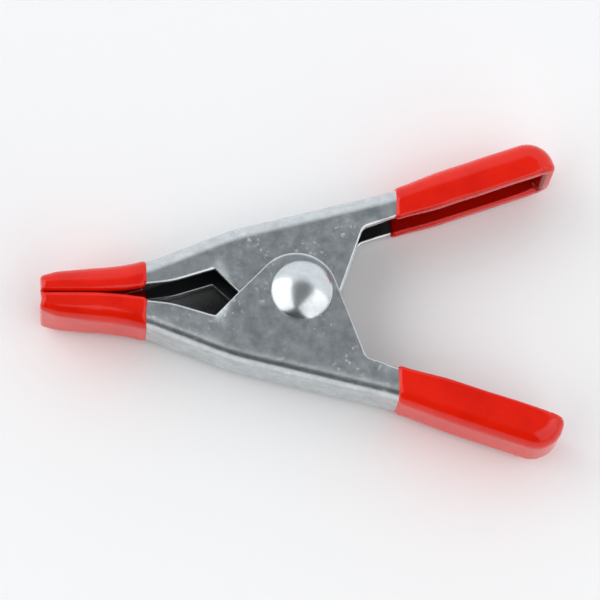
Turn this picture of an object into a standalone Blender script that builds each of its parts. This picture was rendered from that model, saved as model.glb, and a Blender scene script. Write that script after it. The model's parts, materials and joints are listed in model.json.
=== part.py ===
"""Spring clamp, four inches long: two stamped steel levers on a tubular rivet.

The outer lever's ears lie outside the inner lever's, a torsion spring around the
rivet spreads the handles, and each lever is dipped in vinyl at its jaw and handle.

Frame: +X towards the jaws, +Y towards the outer lever, +Z along the rivet to its
head. The origin is on the rivet's axis, level with the bottom of its rolled end.
"""

import math

import bmesh
import bpy
import numpy as np

MM = 0.001
COLLECTION = "spring_clamp"
CUTTERS = "spring_clamp_cutters"

# Reach, from the rivet's axis to the ends of the vinyl.
JAW_REACH = 50.8 * MM
HANDLE_REACH = 50.8 * MM

# Sheet and vinyl.
SHEET = 1.2 * MM
BEND_RADIUS = 2.2 * MM
CHANNEL_WIDTH = 13.6 * MM
VINYL = 0.9 * MM
VINYL_EDGE = 0.45 * MM

# Clearances between pieces.
EAR_GAP = 0.25 * MM
JAW_GAP = 0.3 * MM
VINYL_FIT = 0.2 * MM
RIVET_FIT = 0.3 * MM
HEAD_GAP = 0.15 * MM
LEG_GAP = 0.3 * MM

# The web's outer face, seen along the rivet.
WEB_OFFSET = 16.45 * MM
BODY_SLOPE = math.radians(13.9)
HANDLE_SLOPE = math.radians(18.8)
NOSE_SLOPE = math.radians(7.0)
HANDLE_BEND_X = -17.3 * MM
SHOULDER_X = 13.5 * MM
NOSE_BEND_X = 33.0 * MM
WEB_BLEND = 45.0 * MM
HANDLE_END_RADIUS = 4.6 * MM
NOSE_DROP_RUN = 2.5 * MM
NOSE_DROP_SLOPE = math.radians(19.0)
NOSE_BLEND = 6.0 * MM
NOSE_DEPTH = 1.7 * MM

# The flanges' free edges: handle, ear, window and clamping face.
HANDLE_DEPTH = 5.7 * MM
NOTCH_RADIUS = 2.0 * MM
EAR_BACK = 7.0 * MM
EAR_BACK_SLOPE = math.radians(70.0)
EAR_RADIUS = 8.0 * MM
EAR_FRONT_SLOPE = math.radians(45.0)
WINDOW_X = 16.7 * MM
WINDOW_HALF = 4.6 * MM
WINDOW_CORNER = 0.7 * MM
WINDOW_SWEEP_X = 25.0 * MM
WINDOW_SWEEP_RISE = 1.0 * MM
WINDOW_END_X = 34.0 * MM
WINDOW_BLEND = 20.0 * MM

# The step of the ears: where along the web it rises and falls, and how far into the
# flange from the bend it is whole.
REAR_STEP_X = -13.8 * MM
REAR_STEP_RUN = 3.6 * MM
FRONT_STEP_LEAD = 3.0 * MM
FRONT_STEP_RUN = 4.0 * MM
STEP_REACH = 6.0 * MM

# Where the vinyl begins, on the web's outer face, and how soon its sections come
# square to the web from an edge that is level across the clamp.
JAW_MOUTH_X = 30.1 * MM
GRIP_MOUTH_X = -18.6 * MM
LEVEL_RUN = 8.0 * MM

# Rivet.
SHANK_RADIUS = 3.1 * MM
HEAD_RADIUS = 5.9 * MM
HEAD_HEIGHT = 2.6 * MM
HEAD_RIM = 0.5 * MM
ROLL_RADIUS = 4.9 * MM
ROLL_HEIGHT = 1.1 * MM
BORE_RADIUS = 2.1 * MM
BORE_DEPTH = 3.4 * MM

# Torsion spring.
WIRE_RADIUS = 0.95 * MM
COIL_RADIUS = 4.8 * MM
COIL_TURNS = 3
COIL_END_GAP = 0.3 * MM
LEG_KNEE_X = -10.5 * MM
LEG_END_X = -15.2 * MM
LEG_KNEE_RADIUS = 5.0 * MM

# Mesh fineness.
ARC_STEP = math.radians(15.0)
BEND_STEPS = 3
KINK = (0.3, 0.7)
EDGE_STEPS = 2
ROUND_STEPS = 32
DOME_STEPS = 5
ROLL_STEPS = 6
WIRE_POINTS_PER_TURN = 18
EDGE_RUN = 5.5 * MM
ROW_GAP = 0.3 * MM
NUDGE = 0.1 * MM
MERGE = 0.001 * MM

# Worked out from the sizes above.
STEP = (SHEET + EAR_GAP) / 2.0
HALF_WIDTH = CHANNEL_WIDTH / 2.0
EAR_TOP = HALF_WIDTH + STEP
FACE_Y = JAW_GAP / 2.0 + VINYL
MID_Z = EAR_TOP + HEAD_GAP + ROLL_HEIGHT


def unit(vectors):
    """Return the vector, or each row of vectors, at length one."""
    return vectors / np.linalg.norm(vectors, axis=-1, keepdims=True)


def turned_in(directions):
    """Turn plan directions a quarter turn clockwise, towards the inside of a lever."""
    return np.stack((directions[..., 1], -directions[..., 0]), axis=-1)


def crossing(point_a, along_a, point_b, along_b):
    """Return where two straight lines in the plan cross."""
    gap = point_b - point_a
    turn = along_a[0] * along_b[1] - along_a[1] * along_b[0]
    return point_a + along_a * (gap[0] * along_b[1] - gap[1] * along_b[0]) / turn


def rounded(corners):
    """Turn (x, y, radius) corners into a polyline with an arc at each inner corner."""
    points = [np.array(corners[0][:2])]
    for before, here, after in zip(corners, corners[1:], corners[2:]):
        corner = np.array(here[:2])
        back = unit(np.array(before[:2]) - corner)
        ahead = unit(np.array(after[:2]) - corner)
        half = math.acos(np.clip(back @ ahead, -1.0, 1.0)) / 2.0
        centre = corner + unit(back + ahead) * here[2] / math.sin(half)
        spoke = corner + back * here[2] / math.tan(half) - centre
        turn = math.pi - 2.0 * half
        if back[0] * ahead[1] - back[1] * ahead[0] > 0.0:
            turn = -turn
        count = max(2, math.ceil(abs(turn) / ARC_STEP))
        for angle in np.linspace(0.0, turn, count + 1):
            points.append(centre + (
                spoke[0] * math.cos(angle) - spoke[1] * math.sin(angle),
                spoke[0] * math.sin(angle) + spoke[1] * math.cos(angle),
            ))
    points.append(np.array(corners[-1][:2]))
    return np.array(points)


def divided(points, longest):
    """Add points to a polyline so that no straight run of it is longer than this."""
    made = [points[:1]]
    for start, end in zip(points, points[1:]):
        count = math.ceil(np.linalg.norm(end - start) / longest)
        made.append(start + (end - start) * np.arange(1, count + 1)[:, None] / count)
    return np.vstack(made)


def lengths(points):
    """Return each point's distance along the polyline from its first point."""
    return np.concatenate(((0.0,), np.cumsum(np.linalg.norm(np.diff(points, axis=0), axis=1))))


def sampled(scale, points, along):
    """Return the polyline's points at the given places on its scale."""
    return np.stack([np.interp(along, scale, points[:, axis]) for axis in (0, 1)], axis=1)


def foot(points, target):
    """Return how far along the polyline its nearest point to the target lies."""
    runs = np.diff(points, axis=0)
    shares = np.sum((target - points[:-1]) * runs, axis=1) / np.sum(runs * runs, axis=1)
    shares = np.clip(shares, 0.0, 1.0)
    misses = np.linalg.norm(points[:-1] + runs * shares[:, None] - target, axis=1)
    nearest = int(np.argmin(misses))
    return float(np.interp(nearest + shares[nearest], range(len(points)), lengths(points)))


def handle_lines():
    """Return the handle's end corner on the web's outer face, the direction from its
    bend to that corner, and its inward normal."""
    to_tip = np.array((-math.cos(HANDLE_SLOPE), math.sin(HANDLE_SLOPE)))
    inward = -turned_in(to_tip)
    bend = np.array((HANDLE_BEND_X, WEB_OFFSET - HANDLE_BEND_X * math.tan(BODY_SLOPE)))
    end_x = -HANDLE_REACH - inward[0] * (HANDLE_DEPTH + VINYL) - to_tip[0] * VINYL
    return bend + to_tip * (end_x - HANDLE_BEND_X) / to_tip[0], to_tip, inward


def web_line():
    """Return the web's outer face in the plan, from the handle's end to the jaw's nose."""
    end, _, inward = handle_lines()
    wall_end = end + inward * HANDLE_DEPTH
    nose_x = JAW_REACH - VINYL * (math.cos(NOSE_DROP_SLOPE) + math.sin(NOSE_DROP_SLOPE))
    nose_y = FACE_Y + NOSE_DEPTH
    knee_x = nose_x - NOSE_DROP_RUN
    knee_y = nose_y + NOSE_DROP_RUN * math.tan(NOSE_DROP_SLOPE)
    nose_bend_y = knee_y + (knee_x - NOSE_BEND_X) * math.tan(NOSE_SLOPE)
    return rounded((
        (*wall_end, 0.0),
        (*end, HANDLE_END_RADIUS),
        (HANDLE_BEND_X, WEB_OFFSET - HANDLE_BEND_X * math.tan(BODY_SLOPE), WEB_BLEND),
        (SHOULDER_X, WEB_OFFSET - SHOULDER_X * math.tan(BODY_SLOPE), WEB_BLEND),
        (NOSE_BEND_X, nose_bend_y, WEB_BLEND),
        (knee_x, knee_y, NOSE_BLEND),
        (nose_x, nose_y, 0.0),
    ))


def free_edge(web):
    """Return the flange's free edge in the plan, from the handle's end to the nose."""
    end, to_tip, inward = handle_lines()
    start = end + inward * HANDLE_DEPTH - to_tip * (BEND_RADIUS + SHEET / 2.0)
    back_along = np.array((math.cos(EAR_BACK_SLOPE), -math.sin(EAR_BACK_SLOPE)))
    back_point = turned_in(back_along) * EAR_BACK
    front_along = np.array((math.cos(EAR_FRONT_SLOPE), math.sin(EAR_FRONT_SLOPE)))
    window = np.array((WINDOW_X, WINDOW_HALF))
    notch = crossing(start, to_tip, back_point, back_along)
    lobe = crossing(back_point, back_along, window, front_along)
    return divided(rounded((
        (*start, 0.0),
        (*notch, NOTCH_RADIUS),
        (*lobe, EAR_RADIUS),
        (WINDOW_X, WINDOW_HALF, WINDOW_CORNER),
        (WINDOW_SWEEP_X, FACE_Y + WINDOW_SWEEP_RISE, WINDOW_BLEND),
        (WINDOW_END_X, FACE_Y, WINDOW_BLEND),
        (web[-1, 0], FACE_Y, 0.0),
    )), EDGE_RUN)


class Channel:
    """A lever's bent sheet: rows along its web, each with a U-shaped section.

    A row is a distance along the web's outer face. In a section a point has a depth,
    measured inwards from that face and on along the flange, and a height above the
    middle of the rivet.
    """

    def __init__(self, side, ear_step):
        """Lay out the lever on one side (+1 or -1), its ears stepped outwards by ear_step."""
        self.side = side
        self.web = web_line()
        self.edge = free_edge(self.web)
        self.scale = lengths(self.web)
        matched = [0.0] + [foot(self.web, point) for point in self.edge[1:-1]] + [self.scale[-1]]
        self.matched = np.maximum.accumulate(matched)
        rear = self.row_at(REAR_STEP_X)
        front = foot(self.web, np.array((WINDOW_X, WINDOW_HALF))) - FRONT_STEP_LEAD
        self.step_rows = (rear - REAR_STEP_RUN, rear, front, front + FRONT_STEP_RUN)
        self.step_heights = (0.0, ear_step, ear_step, 0.0)

    def rows(self, first, last):
        """Return the rows from first to last where the web, the edge or the width turns."""
        kept = [first]
        for row in np.sort(np.concatenate((self.scale, self.matched, self.step_rows))):
            if row - kept[-1] > ROW_GAP and last - row > ROW_GAP:
                kept.append(row)
        return np.array(kept + [last])

    def row_at(self, x):
        """Return the row where the web's outer face passes x, ahead of the handle's end."""
        ahead = np.argmin(self.web[:, 0])
        return float(np.interp(x, self.web[ahead:, 0], self.scale[ahead:]))

    def stations(self, rows, growth=0.0):
        """Return the rows' plan points and directions, and the sizes of their sections:
        the bend's radius, the depth of the free edge, and the ears' step.

        Rows before the first or past the last run straight on. The free edge is moved
        out by the growth.
        """
        inside = np.clip(rows, 0.0, self.scale[-1])
        behind = np.maximum(inside - NUDGE, 0.0)
        ahead = np.minimum(inside + NUDGE, self.scale[-1])
        point = sampled(self.scale, self.web, inside)
        edge = sampled(self.matched, self.edge, inside)
        tangent = unit(sampled(self.scale, self.web, ahead) - sampled(self.scale, self.web, behind))
        rim = unit(sampled(self.matched, self.edge, ahead) - sampled(self.matched, self.edge, behind))
        lip = (NOSE_DEPTH - SHEET) / 2.0
        bend = np.linalg.norm(edge - point, axis=1, keepdims=True) - lip
        bend = np.minimum(BEND_RADIUS, bend)
        beyond = tangent * (rows - inside)[:, None]
        point = point + beyond
        edge = edge + rim * np.sum(rim * beyond, axis=1)[:, None] + turned_in(rim) * growth
        inward = turned_in(tangent)
        run = edge - point - inward * bend
        depth = bend + np.linalg.norm(run, axis=1, keepdims=True)
        step = np.interp(inside, self.step_rows, self.step_heights)[:, None]
        return point, inward, unit(run), bend, depth, step

    def placed(self, stations, depths, heights, level=0.0):
        """Put depths and heights, an array row for each station, into space.

        Where level is 1, a section is slid along the web until it lies square to the
        clamp's length, as the edge of a dip does.
        """
        point, inward, along, bend, _, _ = stations
        curved = inward[:, None] * np.minimum(depths, bend)[..., None]
        straight = along[:, None] * np.maximum(depths - bend, 0.0)[..., None]
        slide = (inward[:, 0] / inward[:, 1] * level)[:, None] * depths
        plan = point[:, None] + curved + straight - turned_in(inward)[:, None] * slide[..., None]
        return np.stack((plan[..., 0], plan[..., 1] * self.side, MID_Z + heights), axis=-1)

    def sheet(self, first, last, growth=0.0):
        """Return the grid of the sheet's middle surface between two rows."""
        stations = self.stations(self.rows(first, last), growth)
        _, _, _, bend, depth, step = stations
        angle = np.linspace(0.0, math.pi / 2.0, BEND_STEPS + 1)
        radius = bend - SHEET / 2.0
        flange = depth - bend
        flange = flange * np.hstack((np.ones_like(flange), np.clip(STEP_REACH / flange, *KINK)))
        rise = step * np.minimum(flange / STEP_REACH, 1.0)
        depths = np.hstack((bend + flange, bend - radius * np.sin(angle)))
        heights = np.hstack((
            HALF_WIDTH - SHEET / 2.0 + rise, HALF_WIDTH - bend + radius * np.cos(angle),
        ))
        depths = np.hstack((depths, depths[:, ::-1]))
        heights = np.hstack((heights, -heights[:, ::-1]))
        return self.placed(stations, depths, heights)

    def coat(self, first, last, mouth):
        """Return the vinyl's closed sections between two rows, rounded at every edge.

        The mouth is the row at which the dip ends.
        """
        angle = np.linspace(0.0, math.pi / 2.0, EDGE_STEPS + 1)
        rows = self.rows(first + VINYL_EDGE, last - VINYL_EDGE)
        rows = np.concatenate((
            first + VINYL_EDGE * (1.0 - np.cos(angle[:-1])),
            rows,
            last - VINYL_EDGE * (1.0 - np.cos(angle[-2::-1])),
        ))
        inset = np.zeros((len(rows), 1))
        inset[:EDGE_STEPS, 0] = VINYL_EDGE * (1.0 - np.sin(angle[:-1]))
        inset[-EDGE_STEPS:, 0] = inset[EDGE_STEPS - 1::-1, 0]
        stations = self.stations(rows, VINYL)
        _, _, _, bend, depth, _ = stations
        tip = depth - inset
        skin = VINYL - inset
        wall = SHEET + VINYL - inset
        turn = VINYL_EDGE - inset * 0.5
        bend_angle = np.linspace(0.0, math.pi / 2.0, BEND_STEPS + 1)
        outer_depths = np.hstack((
            tip - turn * (1.0 - np.cos(angle)),
            bend - (bend + skin) * np.sin(bend_angle),
        ))
        outer_heights = np.hstack((
            HALF_WIDTH + skin - turn * (1.0 - np.sin(angle)),
            HALF_WIDTH - bend + (bend + skin) * np.cos(bend_angle),
        ))
        inner_depths = np.hstack((
            wall + 0.0 * tip,
            tip - turn * (1.0 - np.sin(angle)),
        ))
        inner_heights = np.hstack((
            HALF_WIDTH - wall + 0.0 * tip,
            HALF_WIDTH - wall + turn * (1.0 - np.cos(angle)),
        ))
        depths = np.hstack((
            outer_depths, outer_depths[:, ::-1], inner_depths[:, ::-1], inner_depths,
        ))
        heights = np.hstack((
            outer_heights, -outer_heights[:, ::-1], -inner_heights[:, ::-1], inner_heights,
        ))
        level = np.maximum(1.0 - np.abs(rows - mouth) / LEVEL_RUN, 0.0)
        return self.placed(stations, depths, heights, level)


def collection(name):
    """Return the collection of this name, made anew if there is none."""
    found = bpy.data.collections.get(name)
    if found is None:
        found = bpy.data.collections.new(name)
        bpy.context.scene.collection.children.link(found)
    return found


def material(name, colour, metallic, roughness):
    """Return a Principled material."""
    made = bpy.data.materials.new(name)
    made.use_nodes = True
    shader = made.node_tree.nodes["Principled BSDF"]
    shader.inputs["Base Color"].default_value = (*colour, 1.0)
    shader.inputs["Metallic"].default_value = metallic
    shader.inputs["Roughness"].default_value = roughness
    made.diffuse_color = (*colour, 1.0)
    return made


def placed_object(name, data, into):
    """Link new data as an object in a collection."""
    made = bpy.data.objects.new(name, data)
    collection(into).objects.link(made)
    return made


def as_cutter(cutter):
    """Mark an object as one that only cuts others."""
    cutter.hide_render = True
    cutter.display_type = "WIRE"
    return cutter


def grid_object(name, grid, into):
    """Make an open surface from a grid of points."""
    rows, columns = grid.shape[:2]
    corners = np.arange(rows * columns).reshape(rows, columns)
    faces = np.stack((corners[:-1, :-1], corners[1:, :-1], corners[1:, 1:], corners[:-1, 1:]), -1)
    mesh = bpy.data.meshes.new(name)
    mesh.from_pydata(grid.reshape(-1, 3).tolist(), [], faces.reshape(-1, 4).tolist())
    return placed_object(name, mesh, into)


def loft_object(name, sections, into):
    """Make a closed solid from a stack of closed sections with flat ends."""
    rows, around = sections.shape[:2]
    corners = np.arange(rows * around).reshape(rows, around)
    following = np.roll(corners, -1, axis=1)
    faces = np.stack((corners[:-1], corners[1:], following[1:], following[:-1]), -1)
    ends = [corners[0].tolist(), corners[-1].tolist()]
    mesh = bpy.data.meshes.new(name)
    mesh.from_pydata(sections.reshape(-1, 3).tolist(), [], faces.reshape(-1, 4).tolist() + ends)
    shape = bmesh.new()
    shape.from_mesh(mesh)
    bmesh.ops.recalc_face_normals(shape, faces=shape.faces)
    shape.to_mesh(mesh)
    shape.free()
    return placed_object(name, mesh, into)


def thicken(obj, thickness):
    """Give an open surface an even thickness about its middle."""
    solidify = obj.modifiers.new("sheet", "SOLIDIFY")
    solidify.thickness = thickness
    solidify.offset = 0.0
    solidify.use_even_offset = True


def cut(obj, cutter):
    """Take one object out of another."""
    boolean = obj.modifiers.new("cut", "BOOLEAN")
    boolean.operation = "DIFFERENCE"
    boolean.solver = "EXACT"
    boolean.object = cutter


def rivet_hole():
    """Make the cutter of the ears' holes."""
    bpy.ops.mesh.primitive_cylinder_add(
        vertices=ROUND_STEPS, radius=SHANK_RADIUS + RIVET_FIT, depth=4.0 * EAR_TOP,
        location=(0.0, 0.0, MID_Z),
    )
    hole = bpy.context.object
    hole.name = "rivet_hole"
    for home in list(hole.users_collection):
        home.objects.unlink(hole)
    collection(CUTTERS).objects.link(hole)
    return as_cutter(hole)


def make_lever(name, channel, hole, steel):
    """Make a lever: its sheet with the rivet's holes."""
    lever = grid_object(name, channel.sheet(0.0, channel.scale[-1]), COLLECTION)
    thicken(lever, SHEET)
    cut(lever, hole)
    lever.data.materials.append(steel)


def make_vinyl(prefix, channel, vinyl):
    """Make a lever's dipped jaw tip and handle grip, hollow where the steel lies."""
    end = channel.scale[-1]
    core = grid_object(
        f"{prefix}_core", channel.sheet(-VINYL_FIT, end + VINYL_FIT, VINYL_FIT), CUTTERS,
    )
    thicken(core, SHEET + 2.0 * VINYL_FIT)
    as_cutter(core)
    jaw_mouth = channel.row_at(JAW_MOUTH_X)
    grip_mouth = channel.row_at(GRIP_MOUTH_X)
    spans = {
        "jaw_tip": (jaw_mouth, end + VINYL, jaw_mouth),
        "grip": (-VINYL, grip_mouth, grip_mouth),
    }
    for piece, span in spans.items():
        sleeve = loft_object(f"{prefix}_{piece}", channel.coat(*span), COLLECTION)
        cut(sleeve, core)
        sleeve.data.materials.append(vinyl)


def make_rivet(steel):
    """Turn the rivet: domed head, shank, and a rolled end around its bore."""
    seat = EAR_TOP + HEAD_GAP
    dome = HEAD_HEIGHT - HEAD_RIM
    ball = (HEAD_RADIUS ** 2 + dome ** 2) / (2.0 * dome)
    profile = [(0.0, seat + HEAD_HEIGHT)]
    for angle in np.linspace(0.0, math.asin(HEAD_RADIUS / ball), DOME_STEPS + 1)[1:]:
        profile.append((ball * math.sin(angle), seat + HEAD_HEIGHT - ball * (1.0 - math.cos(angle))))
    profile += [(HEAD_RADIUS, seat), (SHANK_RADIUS, seat), (SHANK_RADIUS, -seat)]
    roll = (ROLL_RADIUS - BORE_RADIUS) / 2.0
    for angle in np.linspace(0.0, math.pi, ROLL_STEPS + 1):
        lean = BORE_RADIUS + roll + roll * math.cos(angle)
        profile.append((lean, -seat - ROLL_HEIGHT * math.sin(angle)))
    profile += [(BORE_RADIUS, -seat - ROLL_HEIGHT + BORE_DEPTH)]
    profile += [(0.0, -seat - ROLL_HEIGHT + BORE_DEPTH + BORE_RADIUS / 2.0)]
    mesh = bpy.data.meshes.new("rivet")
    edges = [(index, index + 1) for index in range(len(profile) - 1)]
    mesh.from_pydata([(radius, 0.0, height) for radius, height in profile], edges, [])
    rivet = placed_object("rivet", mesh, COLLECTION)
    rivet.location = (0.0, 0.0, MID_Z)
    screw = rivet.modifiers.new("turn", "SCREW")
    screw.steps = ROUND_STEPS
    screw.render_steps = ROUND_STEPS
    screw.use_merge_vertices = True
    screw.merge_threshold = MERGE
    rivet.data.materials.append(steel)


def spring_path():
    """Return the wire's centre line: one leg, the coil from the top down, the other leg."""
    level = HALF_WIDTH - STEP - SHEET - COIL_END_GAP - WIRE_RADIUS
    drop = (SHEET + LEG_GAP + WIRE_RADIUS) / math.cos(BODY_SLOPE)
    end = np.array((LEG_END_X, WEB_OFFSET - LEG_END_X * math.tan(BODY_SLOPE) - drop))
    knee = np.array((LEG_KNEE_X, WEB_OFFSET - LEG_KNEE_X * math.tan(BODY_SLOPE) - drop))
    far = np.linalg.norm(knee)
    leave = math.atan2(knee[1], knee[0]) - math.acos(COIL_RADIUS / far)
    joint = COIL_RADIUS * np.array((math.cos(leave), math.sin(leave)))
    leg = rounded(((*end, 0.0), (*knee, LEG_KNEE_RADIUS), (*joint, 0.0)))[:-1]
    sweep = 2.0 * leave + 2.0 * math.pi * COIL_TURNS
    share = np.linspace(0.0, 1.0, round(WIRE_POINTS_PER_TURN * sweep / (2.0 * math.pi)) + 1)
    angle = leave - sweep * share
    upper = np.column_stack((leg, np.full(len(leg), level)))
    coil = np.column_stack((
        COIL_RADIUS * np.cos(angle), COIL_RADIUS * np.sin(angle), level * (1.0 - 2.0 * share),
    ))
    lower = upper[::-1] * (1.0, -1.0, -1.0)
    return np.vstack((upper, coil, lower)) + (0.0, 0.0, MID_Z)


def make_spring(steel):
    """Bend the torsion spring from round wire."""
    points = spring_path()
    curve = bpy.data.curves.new("torsion_spring", "CURVE")
    curve.dimensions = "3D"
    curve.bevel_depth = WIRE_RADIUS
    curve.bevel_resolution = 2
    curve.use_fill_caps = True
    spline = curve.splines.new("POLY")
    spline.points.add(len(points) - 1)
    spline.points.foreach_set("co", np.column_stack((points, np.ones(len(points)))).ravel())
    curve.materials.append(steel)
    placed_object("torsion_spring", curve, COLLECTION)


def main():
    """Build the clamp in an emptied scene."""
    for obj in list(bpy.data.objects):
        bpy.data.objects.remove(obj)
    zinc = material("zinc_plated_steel", (0.56, 0.60, 0.62), 1.0, 0.34)
    rivet_steel = material("plated_rivet_steel", (0.74, 0.77, 0.79), 1.0, 0.16)
    spring_steel = material("spring_steel", (0.36, 0.37, 0.39), 1.0, 0.32)
    vinyl = material("red_vinyl", (0.72, 0.012, 0.006), 0.0, 0.24)
    hole = rivet_hole()
    for prefix, side, ear_step in (("outer", 1, STEP), ("inner", -1, -STEP)):
        channel = Channel(side, ear_step)
        make_lever(f"{prefix}_lever", channel, hole, zinc)
        make_vinyl(prefix, channel, vinyl)
    make_rivet(rivet_steel)
    make_spring(spring_steel)


main()
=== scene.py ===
"""Looks of a small steel spring clamp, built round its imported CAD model.

Two stamped, zinc-plated channel levers turn on a tubular rivet. A torsion spring
holds the jaws shut, and each lever is dipped in red vinyl at its jaw and handle.
The clamp lies flat: +X runs to the jaws, +Y to the outer lever, +Z up the rivet.
"""

import json
import logging
import math
from abc import ABC, abstractmethod
from dataclasses import dataclass, field
from enum import Enum

import bmesh
import bpy
import numpy as np
from bpy.types import ID, Material, Node, NodeSocket, NodeTree, Object
from mathutils import Matrix, Vector


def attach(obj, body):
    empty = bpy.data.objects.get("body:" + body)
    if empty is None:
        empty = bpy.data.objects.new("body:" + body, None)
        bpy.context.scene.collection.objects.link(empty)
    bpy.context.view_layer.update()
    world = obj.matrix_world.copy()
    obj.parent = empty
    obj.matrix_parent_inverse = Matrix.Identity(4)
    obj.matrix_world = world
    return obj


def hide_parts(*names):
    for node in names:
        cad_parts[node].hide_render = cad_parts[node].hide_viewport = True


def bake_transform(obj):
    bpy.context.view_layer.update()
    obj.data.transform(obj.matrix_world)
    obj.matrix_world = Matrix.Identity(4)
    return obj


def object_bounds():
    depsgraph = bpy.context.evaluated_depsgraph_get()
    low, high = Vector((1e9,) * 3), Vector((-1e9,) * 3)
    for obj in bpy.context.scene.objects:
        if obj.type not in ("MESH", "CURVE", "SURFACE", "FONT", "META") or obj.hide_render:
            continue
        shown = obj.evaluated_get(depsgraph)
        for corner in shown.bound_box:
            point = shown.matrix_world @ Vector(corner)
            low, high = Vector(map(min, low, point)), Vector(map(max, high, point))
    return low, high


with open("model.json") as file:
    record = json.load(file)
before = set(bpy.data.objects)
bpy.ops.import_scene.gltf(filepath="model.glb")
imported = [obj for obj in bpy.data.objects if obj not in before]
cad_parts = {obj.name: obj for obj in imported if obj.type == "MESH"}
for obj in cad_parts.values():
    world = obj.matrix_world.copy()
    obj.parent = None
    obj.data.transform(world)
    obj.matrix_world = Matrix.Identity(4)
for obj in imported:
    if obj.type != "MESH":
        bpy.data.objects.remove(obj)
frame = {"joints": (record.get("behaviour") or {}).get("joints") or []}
CAD_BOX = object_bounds()

MM = 0.001
MIX_A, MIX_B = 6, 7  # The colour inputs of a Mix node.
RIPPLE_RATES = (0.6, 2.6)  # The slowest and fastest wave of a ripple.
RIPPLE_GAIN = 1.6  # Brings the mean of a ripple's waves up to about 1.
FIRST_SEED = 11
ARC_CHORDS = 6  # The fewest chords of an arc.
JAW_MOUTH = 30.1 * MM  # The x that each jaw tip's vinyl reaches back to.
GRIP_MOUTH = -18.6 * MM  # The x that each grip's vinyl reaches forward to.
EAR_GAP = 0.25 * MM  # Between an outer ear and the inner ear beside it.
WHOLE = (0.0, 1.0)
OUTER_BODY = "outer_half"
INNER_BODY = "inner_half"
PIVOT = Vector(frame["joints"][0]["pos_m"])

log = logging.getLogger("spring_clamp")


class Side(Enum):
    """The side of the centre line that a lever's web lies on."""

    OUTER = 1
    INNER = -1


class Segment(Enum):
    """A stretch of the channel's closed outline, in the order met along one flange."""

    LIP_OUT = 0
    FLANGE_OUT = 1
    BEND_OUT = 2
    WEB_OUT = 3
    LIP_IN = 4
    FLANGE_IN = 5
    BEND_IN = 6
    WEB_IN = 7
    RIM = 8


# ---------------------------------------------------------------- plan geometry


def unit(vectors: np.ndarray) -> np.ndarray:
    """Return each vector at length one."""
    return vectors / np.linalg.norm(vectors, axis=-1, keepdims=True)


def turned_in(directions: np.ndarray) -> np.ndarray:
    """Turn plan directions a quarter turn clockwise, towards the inside of a lever."""
    return np.stack((directions[..., 1], -directions[..., 0]), axis=-1)


def lengths(points: np.ndarray) -> np.ndarray:
    """Return each point's distance along the polyline from its first point."""
    return np.concatenate(((0.0,), np.cumsum(np.linalg.norm(np.diff(points, axis=0), axis=1))))


def sampled(scale: np.ndarray, points: np.ndarray, along: np.ndarray) -> np.ndarray:
    """Return a polyline's points at the given places on its scale."""
    return np.stack([np.interp(along, scale, points[:, axis]) for axis in (0, 1)], axis=-1)


def eased(values: np.ndarray, start: float, end: float) -> np.ndarray:
    """Return 0 at start and 1 at end, and between them 3t^2 - 2t^3 of the way t."""
    way = np.clip((values - start) / (end - start), 0.0, 1.0)
    return way * way * (3.0 - 2.0 * way)


def crossing(
    point_a: np.ndarray, along_a: np.ndarray, point_b: np.ndarray, along_b: np.ndarray
) -> np.ndarray:
    """Return where two straight lines in the plan cross.

    Args:
        point_a: A point on the first line.
        along_a: The first line's direction.
        point_b: A point on the second line.
        along_b: The second line's direction.

    Returns:
        The point where they cross.
    """
    gap = point_b - point_a
    turn = along_a[0] * along_b[1] - along_a[1] * along_b[0]
    return point_a + along_a * (gap[0] * along_b[1] - gap[1] * along_b[0]) / turn


def fillet(before: np.ndarray, corner: np.ndarray, after: np.ndarray, radius: float,
           fineness: float) -> np.ndarray:
    """Return the points of the arc that rounds a corner.

    The arc's centre lies on the corner's bisector, radius / sin(half angle) away, and
    each point is the first spoke turned about that centre.

    Args:
        before: The point before the corner.
        corner: The corner.
        after: The point after it.
        radius: The arc's radius.
        fineness: The longest chord between two points.

    Returns:
        An array of points, one row each.
    """
    back = unit(before - corner)
    ahead = unit(after - corner)
    half = math.acos(float(np.clip(back @ ahead, -1.0, 1.0))) / 2.0
    centre = corner + unit(back + ahead) * radius / math.sin(half)
    spoke = corner + back * radius / math.tan(half) - centre
    turn = math.pi - 2.0 * half
    if back[0] * ahead[1] - back[1] * ahead[0] > 0.0:
        turn = -turn
    count = max(ARC_CHORDS, math.ceil(abs(turn) * radius / fineness))
    angle = np.linspace(0.0, turn, count + 1)
    cos, sin = np.cos(angle), np.sin(angle)
    return centre + np.stack((spoke[0] * cos - spoke[1] * sin, spoke[0] * sin + spoke[1] * cos), 1)


def rounded(corners: list[tuple[float, float, float]], fineness: float) -> np.ndarray:
    """Turn (x, y, radius) corners into a polyline with an arc at each inner corner.

    Args:
        corners: The corners, the first and last of which stay sharp.
        fineness: The longest chord of an arc.

    Returns:
        The polyline's points.
    """
    plain = [np.array(corner[:2]) for corner in corners]
    arcs = [
        fillet(before, here, after, corner[2], fineness)
        for before, here, after, corner in zip(plain, plain[1:], plain[2:], corners[1:])
    ]
    return np.vstack([plain[0][None]] + arcs + [plain[-1][None]])


def feet(points: np.ndarray, targets: np.ndarray) -> np.ndarray:
    """Return how far along a polyline the nearest point to each target lies.

    Every target is dropped square onto every straight run, held to the run's ends, and
    the run that it misses least is kept.

    Args:
        points: The polyline's points.
        targets: The targets, one row each.

    Returns:
        A distance along the polyline for each target.
    """
    runs = np.diff(points, axis=0)
    gaps = targets[:, None] - points[None, :-1]
    shares = np.clip((gaps * runs).sum(-1) / (runs * runs).sum(-1), 0.0, 1.0)
    misses = np.linalg.norm(gaps - runs * shares[..., None], axis=-1)
    nearest = np.argmin(misses, axis=1)
    share = shares[np.arange(len(targets)), nearest]
    return np.interp(nearest + share, np.arange(len(points)), lengths(points))


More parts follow.
